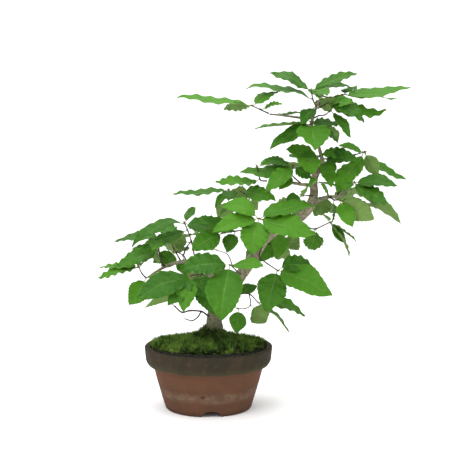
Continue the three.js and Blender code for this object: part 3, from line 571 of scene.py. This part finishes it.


# the tones given to single leaves below are painted light and shade: low for leaves in shadow, high for lit
# ones
shoots = {
    "shoot_left_tip": [
        twig([(-87, -5, 185), (-93, -5, 191), (-97, -6, 200)], [
            leaf((-154, -12, 187), 28, "slight"),
            leaf((-155, 20, 197), 28, "slight"),
            leaf((-78, -28, 219), 18, "tipped"),
            leaf((-112, 24, 211), 16, "back"),
            leaf((-110, -22, 150), 30, "front", node=0)]),
    ],
    "shoot_left_outer": [
        twig([(-62, -2, 202), (-66, -5, 208), (-69, -7, 225), (-68, -8, 243)], [
            leaf((-127, -26, 206), 28, "half", node=2),
            leaf((-76, -42, 229), 24, "half"),
            leaf((-110, 34, 222), 24, "half", node=2),
            leaf((-139, 40, 231), 30, "tipped"),
            leaf((-90, 38, 222), 22, "away", node=1)]),
    ],
    "shoot_left_upper": [
        twig([(-19, 4, 210), (-23, 6, 232), (-29, 0, 252), (-33, -5, 262)], [
            leaf((-105, -32, 232), 25, "tipped", arch=0.22, tone=0.0),
            leaf((-19, 28, 283), 14, "tipped"),
            leaf((13, -34, 252), 30, "half", tone=0.0),
            leaf((-92, -30, 229), 20, "half", node=2)]),
    ],
    "shoot_left_inner": [
        twig([(-32, 10, 209), (-36, 18, 214), (-47, 26, 219)], [
            leaf((-66, 10, 198), 24, "front"),
            leaf((-33, 6, 188), 26, "front", node=1),
            leaf((-80, 24, 203), 18, "steep")]),
        twig([(-36, 18, 214), (-31, 20, 226), (-26, 20, 232)], [
            leaf((-62, 34, 236), 26, "away"),
            leaf((-44, 48, 214), 20, "back", node=1)]),
    ],
    "shoot_left_front": [
        twig([(-1, -4, 194), (-9, -30, 195), (-22, -55, 196)], [
            leaf((-93, -86, 171), 42, "half", tone=0.1),
            leaf((-86, -44, 150), 18, "away"),
            leaf((-53, -84, 160), 27, "steep", tone=0.3),
            leaf((-32, -88, 153), 28, "front"),
            leaf((-4, -50, 166), 25, "front"),
            leaf((8, -56, 143), 38, "front", node=1, tone=0.0)]),
    ],
    "shoot_front_low": [
        twig([(45, -8, 191), (40, -45, 200), (34, -80, 211), (30, -95, 216)], [
            leaf((19, -122, 147), 50, "front", tone=0.45),
            leaf((-35, -112, 212), 36, "half", tone=0.0),
            leaf((73, -122, 218), 28, "tipped")]),
        twig([(34, -80, 211), (27, -90, 229), (14, -94, 235)], radius=0.8, leaves=[
            leaf((1, -96, 237), 6, "tipped")]),
    ],
    "shoot_front_middle": [
        twig([(57, 0, 253), (38, -22, 253), (20, -40, 252)], [
            leaf((-21, -66, 232), 32, "steep", tone=0.5),
            leaf((-14, -56, 273), 30, "half", node=1, tone=0.1),
            leaf((26, -42, 226), 22, "front", node=1)]),
    ],
    "shoot_front_upper": [
        twig([(97, -6, 251), (88, -35, 262), (78, -58, 270), (69, -70, 275)], [
            leaf((59, -96, 230), 40, "front", tone=0.8),
            leaf((143, -92, 257), 42, "half", tone=0.75),
            leaf((145, -54, 291), 36, "tipped", arch=0.08, tone=0.55),
            leaf((19, -60, 290), 28, "half", arch=0.22),
            leaf((7, -96, 260), 28, "half")]),
    ],
    "shoot_right_front": [
        twig([(75, -6, 230), (71, -16, 217), (81, -35, 210), (94, -60, 204)], [
            leaf((79, -88, 152), 42, "front"),
            leaf((166, -86, 174), 46, "half", arch=0.1, tone=0.6),
            leaf((144, -44, 206), 32, "half", arch=0.22, tone=0.05)]),
    ],
    "shoot_right_low": [
        twig([(27, -8, 158), (42, -14, 163), (57, -20, 165), (69, -25, 154)], [
            leaf((138, 2, 130), 30, "tipped", arch=0.1),
            leaf((116, -22, 109), 26, "right"),
            leaf((69, 6, 173), 20, "half", node=1)]),
        twig([(57, -20, 165), (59, -24, 150), (50, -26, 145), (42, -27, 146)], radius=0.9, leaves=[
            leaf((39, -42, 114), 25, "front"),
            leaf((80, -34, 127), 34, "away", node=1)]),
    ],
    "shoot_right_inner": [
        twig([(112, 9, 257), (116, 22, 250), (111, 36, 244)], [
            leaf((71, 42, 202), 28, "steep"),
            leaf((96, 16, 210), 24, "front"),
            leaf((130, 44, 219), 24, "away")]),
    ],
    "shoot_right_lower": [
        twig([(126, 5, 261), (138, 7, 257), (150, 8, 253), (171, 10, 262)], [
            leaf((209, 6, 235), 26, "right"),
            leaf((197, 28, 231), 16, "steep"),
            leaf((202, 20, 213), 22, "right"),
            leaf((160, -14, 276), 12, "tipped"),
            leaf((147, 30, 220), 30, "front", node=2),
            leaf((161, 4, 229), 14, "right", node=2)]),
    ],
    "shoot_left_high": [
        twig([(37, -4, 294), (33, -8, 301), (29, -14, 309)], [
            leaf((-49, -26, 305), 27, "slight", arch=0.0),
            leaf((28, -50, 298), 22, "steep"),
            leaf((10, -36, 287), 12, "steep"),
            leaf((55, 26, 294), 26, "away"),
            leaf((16, 16, 272), 11, "half", node=0)]),
    ],
    "shoot_middle_low": [
        twig([(51, 5, 273), (57, -4, 292), (55, -12, 301), (46, -15, 307)], [
            leaf((93, -32, 297), 30, "half", arch=0.12)]),
    ],
    "shoot_middle_high": [
        twig([(81, -15, 322), (72, -24, 324), (69, -25, 336), (67, -25, 342)], [
            leaf((11, -52, 324), 28, "tipped", arch=-0.06, node=1),
            leaf((104, -8, 352), 18, "tipped")]),
    ],
    "shoot_upper_inner": [
        twig([(128, -9, 319), (120, -13, 326), (115, -17, 332), (117, -19, 343)], [
            leaf((78, -52, 310), 26, "half", arch=0.1),
            leaf((97, -48, 313), 18, "half", node=2),
            leaf((44, -34, 335), 31, "tipped", arch=-0.05),
            leaf((79, -30, 352), 24, "tipped"),
            leaf((141, -30, 327), 22, "half")]),
    ],
    "shoot_upper_front": [
        twig([(145, -6, 301), (138, -18, 302), (130, -26, 302)], [
            leaf((107, -40, 293), 24, "steep"),
            leaf((146, -62, 326), 34, "half")]),
    ],
    "shoot_right_upper": [
        twig([(197, -11, 314), (201, -16, 320)], [
            leaf((186, -48, 312), 16, "half"),
            leaf((259, -32, 317), 38, "tipped"),
            leaf((241, -54, 293), 32, "tipped"),
            leaf((271, 8, 261), 28, "back", arch=-0.02)]),
    ],
    "shoot_right_middle": [
        twig([(169, -9, 300), (174, -15, 296), (181, -20, 296)], [
            leaf((227, -38, 271), 34, "away"),
            leaf((235, -4, 283), 26, "up"),
            leaf((197, -46, 262), 24, "steep"),
            leaf((150, 12, 272), 32, "away", node=0),
            leaf((171, -24, 265), 18, "right", node=1),
            leaf((155, -30, 319), 18, "half", node=0)]),
    ],
    "shoot_right_high": [
        twig([(160, 3, 352), (180, 10, 352), (205, 14, 357), (219, 15, 361)], [
            leaf((237, 2, 329), 22, "away"),
            leaf((283, 30, 323), 26, "tipped", arch=-0.12),
            leaf((206, -22, 352), 30, "half", node=0),
            leaf((160, 0, 328), 22, "steep", node=1),
            leaf((176, -40, 311), 30, "half", arch=-0.12),
            leaf((157, -12, 358), 26, "half", node=2),
            leaf((181, -8, 371), 18, "half"),
            leaf((170, -20, 314), 22, "steep", node=0)]),
    ],
    "shoot_left_crown_low": [
        twig([(155, -3, 356), (146, -8, 352), (139, -10, 356)], [
            leaf((108, -18, 366), 32, "half", arch=-0.02, node=0, tone=0.85),
            leaf((140, -52, 334), 34, "half"),
            leaf((125, -24, 350), 26, "half", node=0)]),
    ],
    "shoot_crown_low": [
        twig([(145, -3, 394), (142, -12, 400)], [
            leaf((143, -72, 368), 48, "up"),
            leaf((64, -26, 394), 30, "up", arch=0.03),
            leaf((84, -42, 367), 24, "half", tone=0.1),
            leaf((181, -6, 374), 28, "tipped", arch=0.06),
            leaf((192, 18, 398), 32, "tipped", arch=0.06)]),
    ],
    "shoot_top_left": [
        twig([(83, -20, 415), (72, -25, 420), (61, -28, 425)], [
            leaf((-42, -36, 437), 34, "slight", arch=0.0),
            leaf((22, -8, 420), 26, "back"),
            leaf((101, -2, 447), 30, "slight"),
            leaf((101, -36, 428), 20, "tipped", node=1)]),
    ],
    "shoot_crown_left": [
        twig([(150, -2, 424), (145, -3, 434), (143, -4, 446)], [
            leaf((53, -16, 451), 40, "slight", arch=0.06, node=1),
            leaf((86, 0, 472), 30, "tipped", arch=0.06),
            leaf((205, -8, 470), 26, "tipped", arch=0.05),
            leaf((160, -54, 440), 30, "tipped"),
            leaf((127, -30, 401), 20, "half", node=0),
            leaf((98, 22, 417), 24, "up", arch=-0.1, node=0),
            leaf((202, 25, 452), 26, "tipped", arch=0.08)]),
    ],
    "shoot_crown_right": [
        twig([(159, 1, 439), (170, 2, 437), (188, 3, 441)], [
            leaf((207, 40, 453), 24, "up"),
            leaf((279, -12, 451), 36, "tipped", arch=-0.06),
            leaf((268, 32, 438), 26, "slight", arch=0.0)]),
    ],
    "shoot_crown_front": [
        twig([(152, -3, 422), (157, -8, 425), (164, -14, 429)], [
            leaf((212, -34, 403), 30, "half", arch=0.16),
            leaf((246, -6, 420), 36, "tipped", arch=-0.1),
            leaf((148, -56, 436), 28, "tipped"),
            leaf((196, -34, 429), 26, "half")]),
    ],
    "shoot_crown_drooping": [
        twig([(148, -3, 409), (153, -8, 412), (161, -12, 413), (168, -17, 419)], [
            leaf((195, -28, 382), 18, "tipped", arch=0.08),
            leaf((176, -36, 430), 14, "tipped")]),
    ],
    "shoot_rear_left": [
        twig([(-40, 12, 208), (-50, 32, 222), (-56, 50, 230)], [
            leaf((-98, 84, 214), 32, "back"),
            leaf((-52, 108, 206), 34, "back"),
            leaf((-14, 92, 236), 30, "back"),
            leaf((-66, 92, 252), 28, "up")]),
    ],
    "shoot_rear_low_left": [
        twig([(7, 10, 178), (0, 28, 184), (-6, 46, 186)], [
            leaf((-50, 84, 160), 32, "back"),
            leaf((8, 98, 146), 36, "away"),
            leaf((-34, 96, 192), 28, "back"),
            leaf((46, 84, 172), 32, "back")]),
    ],
    "shoot_rear_lower_right": [
        twig([(79, 10, 235), (86, 28, 229), (90, 46, 226)], [
            leaf((54, 84, 198), 32, "away"),
            leaf((121, 98, 198), 34, "away"),
            leaf((134, 76, 220), 28, "back"),
            leaf((74, 102, 236), 28, "up")]),
    ],
    "shoot_rear_middle": [
        twig([(53, 12, 268), (48, 36, 280), (44, 54, 288)], [
            leaf((14, 104, 260), 34, "back"),
            leaf((72, 112, 272), 34, "back"),
            leaf((92, 76, 302), 26, "up")]),
    ],
    "shoot_rear_right": [
        twig([(138, 10, 278), (142, 32, 283), (146, 50, 286)], [
            leaf((192, 84, 268), 32, "back"),
            leaf((128, 108, 254), 34, "away"),
            leaf((100, 84, 284), 30, "back")]),
    ],
    "shoot_rear_right_high": [
        twig([(181, -2, 303), (187, 20, 306), (192, 36, 308)], [
            leaf((240, 66, 292), 30, "back"),
            leaf((206, 92, 280), 30, "away"),
            leaf((160, 74, 314), 28, "back")]),
    ],
    "shoot_rear_upper": [
        twig([(149, 7, 333), (144, 26, 340), (138, 40, 344)], [
            leaf((98, 74, 332), 30, "back"),
            leaf((148, 92, 330), 32, "back"),
            leaf((120, 86, 356), 26, "up")]),
    ],
    "shoot_rear_crown": [
        twig([(149, 4, 389), (153, 22, 394), (156, 34, 396)], [
            leaf((188, 72, 376), 30, "back"),
            leaf((122, 76, 384), 30, "back"),
            leaf((162, 92, 404), 28, "up")]),
    ],
    "shoot_rear_top": [
        twig([(154, 3, 428), (156, 16, 433), (158, 26, 436)], [
            leaf((200, 56, 428), 28, "back"),
            leaf((176, 72, 418), 28, "back"),
            leaf((156, 80, 448), 26, "up")]),
    ],
}

bareTwigs = [
    twig([(0, -6, 131), (-10, -8, 138), (-27, -8, 139), (-37, -10, 137), (-47, -12, 146)], [], 1.4),
    twig([(-10, -8, 138), (-15, -9, 130), (-23, -10, 125), (-30, -10, 127)], []),
]


def beechLeaf(name, light, dark, vein, through, lime, rough):
    # one side of a leaf: vein lines run slantwise from the midrib, and light from behind glows through
    material, tree, shader = newMaterial(name, Roughness=rough, Specular_IOR_Level=0.22)
    place = addNode(tree, "ShaderNodeTexCoord")
    tone = addNode(tree, "ShaderNodeAttribute", attribute_name="tone").outputs["Fac"]
    parts = addNode(tree, "ShaderNodeSeparateXYZ", {0: place.outputs["UV"]})
    outward = sums(tree, "ABSOLUTE", sums(tree, "MULTIPLY_ADD", parts.outputs["X"], 2.0, -1.0))
    rise = sums(tree, "SUBTRACT", parts.outputs["Y"], sums(tree, "MULTIPLY", outward, leafLook["slant"]))
    order = sums(tree, "MULTIPLY", rise, float(leafLook["teeth"]))
    sideVein = remap(tree, sums(tree, "PINGPONG", order, 0.5), 0.1, 0.02)
    midrib = remap(tree, outward, 0.075, 0.02)
    veins = sums(tree, "MAXIMUM", sums(tree, "MULTIPLY", sideVein, 0.55), midrib)
    mottle = noiseAt(tree, place.outputs["Object"], 7, 4, 0.6)
    cells = noiseAt(tree, place.outputs["Object"], 0.9, 3, 0.6)
    colour = blendColour(tree, remap(tree, tone, 0, 1), linear(dark), linear(light))
    colour = blendColour(tree, remap(tree, mottle, 0.4, 0.68, 0, 0.3), colour, linear(lime))
    edge = remap(tree, outward, 0.86, 1.0, 0, 0.35)
    colour = blendColour(tree, edge, colour, linear(lime))
    colour = blendColour(tree, sums(tree, "MULTIPLY", veins, 0.45), colour, linear(vein))
    tree.links.new(colour, shader.inputs["Base Color"])
    relief = sums(tree, "SUBTRACT", sums(tree, "MULTIPLY", cells, 0.35), veins)
    normal = bumpOf(tree, relief, 0.18, 0.7)
    tree.links.new(normal, shader.inputs["Normal"])
    glow = addNode(tree, "ShaderNodeBsdfTranslucent", {
        "Color": blendColour(tree, sums(tree, "MULTIPLY", veins, 0.5), linear(through), linear(dark)),
        "Normal": normal}).outputs[0]
    both = addNode(tree, "ShaderNodeMixShader", {
        0: leafLook["glow"], 1: shader.outputs[0], 2: glow}).outputs[0]
    tree.links.new(both, tree.nodes["Material Output"].inputs["Surface"])
    return material


def bladeSurface(start, one, draw):
    # returns a function from (across -1..1, along 0..1) to a point of the blade's upper face
    look = leafLook
    run = Vector(one["tip"]) - start
    length = run.length
    forward = run.normalized()
    normal = Vector(facing[one["face"]])
    normal = (normal - forward * normal.dot(forward)).normalized()
    side = forward.cross(normal)
    fold = look["fold"] * draw.uniform(0.2, 1.9)
    twist, bend = draw.uniform(-0.35, 0.35), draw.uniform(-0.05, 0.05)
    droop, wavePhase = draw.uniform(0.0, 0.1), draw.uniform(0, 6.28)
    wave = look["waveMm"] * draw.uniform(0.4, 1.3) * min(1, (one["width"] / 30) ** 2)
    sway = draw.uniform(-0.03, 0.03)

    def surface(u, a):
        t = (look["petiole"] + a * (length - look["petiole"])) / length
        half = max(math.sin(math.pi * a ** 0.8), 0) ** (0.7 + 0.1 * a) * one["width"] / 2
        half *= 1 + 0.05 * math.sin(a * 9 + wavePhase) * (1 if u > 0 else -1)
        phase = (a - look["slant"] * abs(u)) * look["teeth"]
        tooth = phase % 1
        saw = 1 - min(tooth / 0.8, 1) ** 0.8 if tooth < 0.8 else (tooth - 0.8) / 0.2 * 0.35
        x = u * max(half * (1 - look["toothDepth"] * 2 * saw * abs(u) ** 5), 0.35)
        ripple = wave * u * u * math.sin(2 * math.pi * phase * 0.5 + wavePhase)
        pleat = look["pleatMm"] * abs(math.sin(math.pi * phase)) * (1 - abs(u) ** 4) * min(1, half / 8)
        groove = -0.35 * math.exp(-(x / 0.9) ** 2)
        lift = one["arch"] * length * 4 * t * (1 - t) - droop * length * max(a - 0.55, 0) ** 2
        lift += sway * length * math.sin(3 * math.pi * a)
        z = fold * abs(x) + ripple + pleat + groove
        turn = twist * (a - 0.25)
        across, up = x * math.cos(turn) - z * math.sin(turn), x * math.sin(turn) + z * math.cos(turn)
        across += bend * length * 4 * a * (1 - a)
        return start + forward * (t * length) + side * across + normal * (lift + up)

    return surface, forward, normal


def growLeaf(shootBm, start, one, seed):
    look = leafLook
    draw = random.Random(seed)
    surface, forward, normal = bladeSurface(start, one, draw)
    bm = bmesh.new()
    bm.loops.layers.uv.new("UVMap")
    bm.verts.layers.float.new("tone")
    bmesh.ops.create_grid(bm, x_segments=look["across"], y_segments=look["along"], size=1, calc_uvs=True)
    for vert in bm.verts:
        vert.co = surface(vert.co.x, (vert.co.y + 1) / 2)
    bm.normal_update()
    bmesh.ops.solidify(bm, geom=bm.faces, thickness=look["thickness"])
    bm.normal_update()
    for face in bm.faces:
        face.material_index = 0 if face.normal.dot(normal) > 0 else 1
    # the petiole runs on below the blade as its raised midrib
    rib = [start - forward * 0.5, start + forward * 2.5 + normal * 0.3]
    rib += [surface(0, a) - normal * 0.25 for a in (0.02, 0.2, 0.45, 0.7, 0.9)]
    stemBm = bmesh.new()
    growStem(stemBm, rib, [look["petioleRadius"] * share for share in look["ribTaper"]], sides=6, steps=3)
    for face in stemBm.faces:
        face.material_index = 1
    # a given tone is painted light and shade; a missing one is a random tone of the leaf itself
    tone = draw.uniform(0, 1) if one["tone"] is None else one["tone"]
    for part in (stemBm, bm):
        mesh = bpy.data.meshes.new("part")
        part.to_mesh(mesh)
        part.free()
        first = len(shootBm.verts)
        shootBm.from_mesh(mesh)
        bpy.data.meshes.remove(mesh)
        shootBm.verts.ensure_lookup_table()
        layer = shootBm.verts.layers.float["tone"]
        for vert in shootBm.verts[first:]:
            vert[layer] = tone


twigLook = {
    "taper": 0.75, "knots": 0.22, "endBud": 5.5, "sideBud": 3.6, "budRadii": (0.75, 0.95, 0.12),
}


def growBud(bm, place, heading, length):
    heading = heading.normalized()
    before = set(bm.faces)
    growStem(bm, [place, place + heading * length * 0.35, place + heading * length], twigLook["budRadii"],
             sides=6, steps=3)
    for face in set(bm.faces) - before:
        face.material_index = 3


def growTwigs(name, twigs, materials, slot, seed):
    bm = bmesh.new()
    bm.loops.layers.uv.new("UVMap")
    bm.verts.layers.float.new("tone")
    for each in twigs:
        route = [Vector(point) for point in each["route"]]
        radius = each["radius"]
        before = set(bm.faces)
        growStem(bm, route, [radius, radius * twigLook["taper"]], sides=8, steps=4, knots=twigLook["knots"])
        for face in set(bm.faces) - before:
            face.material_index = 2
        growBud(bm, route[-1], route[-1] - route[-2], twigLook["endBud"])
        for k, one in enumerate(each["leaves"]):
            place = route[one["node"]]
            growLeaf(bm, place, one, seed * 100 + k)
            leafward = (Vector(one["tip"]) - place).normalized()
            alongTwig = (route[-1] - route[-2]).normalized()
            growBud(bm, place, leafward + alongTwig * 1.2, twigLook["sideBud"])
        seed += 7
    bmesh.ops.recalc_face_normals(bm, faces=bm.faces)
    finishPiece(toObject(name + "_grown", bm, materials), slot, name)


# the camera is 1.5 m off and looks slightly down; a lamp is its place in mm, its side in metres and its watts
stageLook = {
    "cameraAt": (24.8, -1500, 409), "tilt": 5.75, "lens": 85.6, "aimHeight": 200, "worldStrength": 0.75,
    "lamps": {"key": ((-900, -1300, 1500), 1.2, 25), "fill": ((1300, -900, 900), 1.4, 10),
              "top": ((0, 200, 1700), 1.5, 24)},
    "paperHalf": 4000,  # half the sweep's width; its profile is (y, z) from front to back
    "paperProfile": [(-3000, 0), (900, 0), (1300, 60), (1600, 300), (1750, 700), (1800, 3000)],
}


def makeStage():
    look = stageLook
    floorWhite, _, shader = newMaterial("photoPaper", Roughness=0.9)  # seamless white paper: no horizon
    shader.inputs["Base Color"].default_value = linear("#fbfbfb")
    bm = bmesh.new()
    verts = [bm.verts.new((-look["paperHalf"], y, z)) for y, z in look["paperProfile"]]
    for pair in zip(verts, verts[1:]):
        bm.edges.new(pair)
    swept = bmesh.ops.extrude_edge_only(bm, edges=bm.edges[:])["geom"]
    farEdge = [g for g in swept if isinstance(g, bmesh.types.BMVert)]
    bmesh.ops.translate(bm, vec=(2 * look["paperHalf"], 0, 0), verts=farEdge)
    toObject("paper_sweep", bm, [floorWhite])

    world = bpy.data.worlds.new("studio")
    bpy.context.scene.world = world
    world.use_nodes = True
    world.node_tree.nodes["Background"].inputs["Color"].default_value = linear("#ffffff")
    world.node_tree.nodes["Background"].inputs["Strength"].default_value = look["worldStrength"]

    aim = toFrame @ Vector((0, 0, look["aimHeight"]))
    for name, (at, size, power) in look["lamps"].items():
        light = bpy.data.lights.new(name, "AREA")
        light.size, light.energy = size, power
        lamp = bpy.data.objects.new(name, light)
        lamp.location = toFrame @ Vector(at)
        lamp.rotation_euler = (aim - lamp.location).to_track_quat("-Z", "Y").to_euler()
        bpy.context.scene.collection.objects.link(lamp)

    camera = bpy.data.objects.new("camera", bpy.data.cameras.new("camera"))
    camera.data.lens, camera.data.sensor_width = look["lens"], 36
    camera.data.dof.use_dof = False
    camera.location = toFrame @ Vector(look["cameraAt"])
    camera.rotation_euler = (math.radians(90 - look["tilt"]), 0, 0)
    bpy.context.scene.collection.objects.link(camera)
    bpy.context.scene.camera = camera
    bpy.context.scene.view_settings.view_transform = "Standard"


makePot(firedClay())
print("pot turned, notched and weathered")
plastic, _, plasticShader = newMaterial("meshPlastic", Roughness=0.45)  # dark moulded drain screen
plasticShader.inputs["Base Color"].default_value = linear("#1d2220")
pumice = crumbsWithPaintedShade("pumiceGravel", "#6f6a60", "#a8a196")  # pale dry pumice, under the soil
for node, look in (("drain_screen", plastic), ("drainage_gravel", pumice)):
    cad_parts[node].data.materials.clear()
    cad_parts[node].data.materials.append(look)
print("drain screen and gravel coloured")
# the soil's near-black colours are partly its own damp colour and partly painted shade from the rim and the
# moss
makeSoil(crumbsWithPaintedShade("soilWithPaintedShade", "#1b1a16", "#403d35"))
print("soil laid")
makeMoss(livingMoss())
print("moss grown")
makeTrunk(beechBark("beechBark", "#4e4939", "#7c7662", "#a09a80", 3.0, True))
print("trunk and limbs fused")
leafMaterials = [
    beechLeaf("beechLeafUpper", "#4d8a1a", "#2a5f0e", "#6a9a3c", "#6f9a1e", "#5d9426", 0.55),
    beechLeaf("beechLeafUnderside", "#7a9a50", "#5f823c", "#93ac68", "#86a63c", "#84a25a", 0.65),
    beechBark("youngBark", "#221c17", "#3a322a", "#5d5246", 1.6, False),
    beechBark("budScales", "#3c2618", "#6b4a30", "#96764e", 0.9, False),
]
growTwigs("bare_twigs", bareTwigs, leafMaterials, "twig_bark", 1)
for number, (name, twigs) in enumerate(shoots.items()):
    growTwigs(name, twigs, leafMaterials, "leaf", 20 + 31 * number)
print(len(shoots), "shoots and the bare twigs grown")
makeStage()
print("stage, lights and camera placed")
